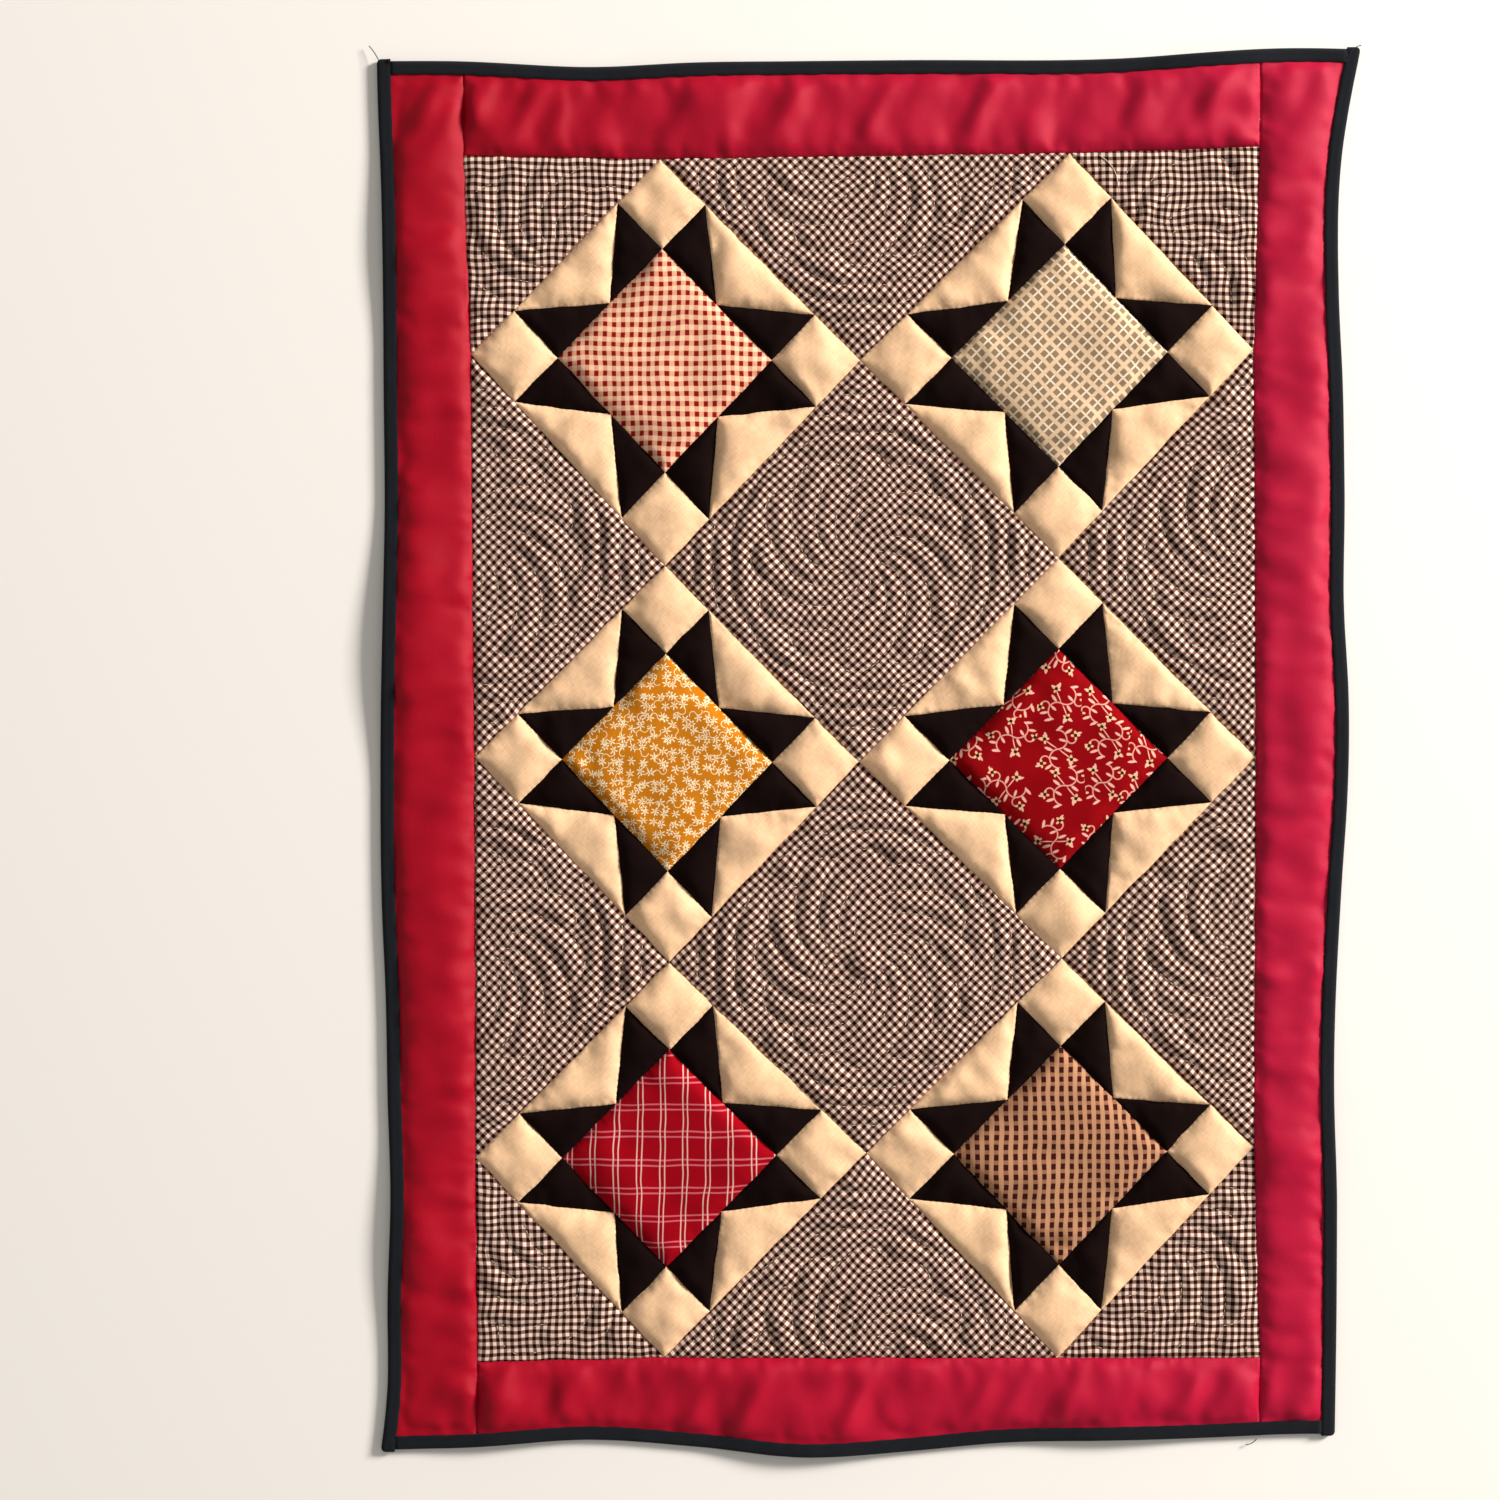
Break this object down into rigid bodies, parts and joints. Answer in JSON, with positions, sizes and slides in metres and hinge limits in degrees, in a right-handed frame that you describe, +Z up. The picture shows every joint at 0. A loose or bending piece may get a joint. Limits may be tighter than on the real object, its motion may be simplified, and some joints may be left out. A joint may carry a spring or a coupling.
{
  "type": "crib quilt",
  "caption": "Pieced and quilted crib quilt lying flat, star blocks on point with checked squares, red borders and a black binding",
  "frame": {"origin": "on the surface that the quilt lies on, under the middle of its outline's box", "axes": "+Y along the length to the top edge, +X across to the right edge as seen from above, +Z up out of the face"},
  "size_m": [0.6242, 0.8933, 0.0095],
  "materials": {
    "back_muslin": "matte",
    "border_red": "matte",
    "binding_black": "satin",
    "gingham": "matte",
    "red_check": "matte",
    "grey_lattice": "matte",
    "mustard_sprig": "matte",
    "red_vine": "matte",
    "red_plaid": "matte",
    "brown_check": "matte",
    "cream_patch": "matte",
    "black_patch": "matte",
    "thread": "matte"
  },
  "bodies": {
    "root": {"quilted_body": "back_muslin", "star_block_red_check": "red_check", "star_block_grey_lattice": "grey_lattice", "star_block_mustard_sprig": "mustard_sprig", "star_block_red_vine": "red_vine", "star_block_red_plaid": "red_plaid", "star_block_brown_check": "brown_check", "plain_square_1": "gingham", "plain_square_2": "gingham", "side_triangle_left_1": "gingham", "side_triangle_left_2": "gingham", "side_triangle_right_1": "gingham", "side_triangle_right_2": "gingham", "side_triangle_top": "gingham", "side_triangle_bottom": "gingham", "corner_triangle_top_left": "gingham", "corner_triangle_top_right": "gingham", "corner_triangle_bottom_left": "gingham", "corner_triangle_bottom_right": "gingham", "border_left": "border_red", "border_right": "border_red", "border_top": "border_red", "border_bottom": "border_red", "binding_left": "binding_black", "binding_right": "binding_black", "binding_top": "binding_black", "binding_bottom": "binding_black"}
  },
  "joints": []
}
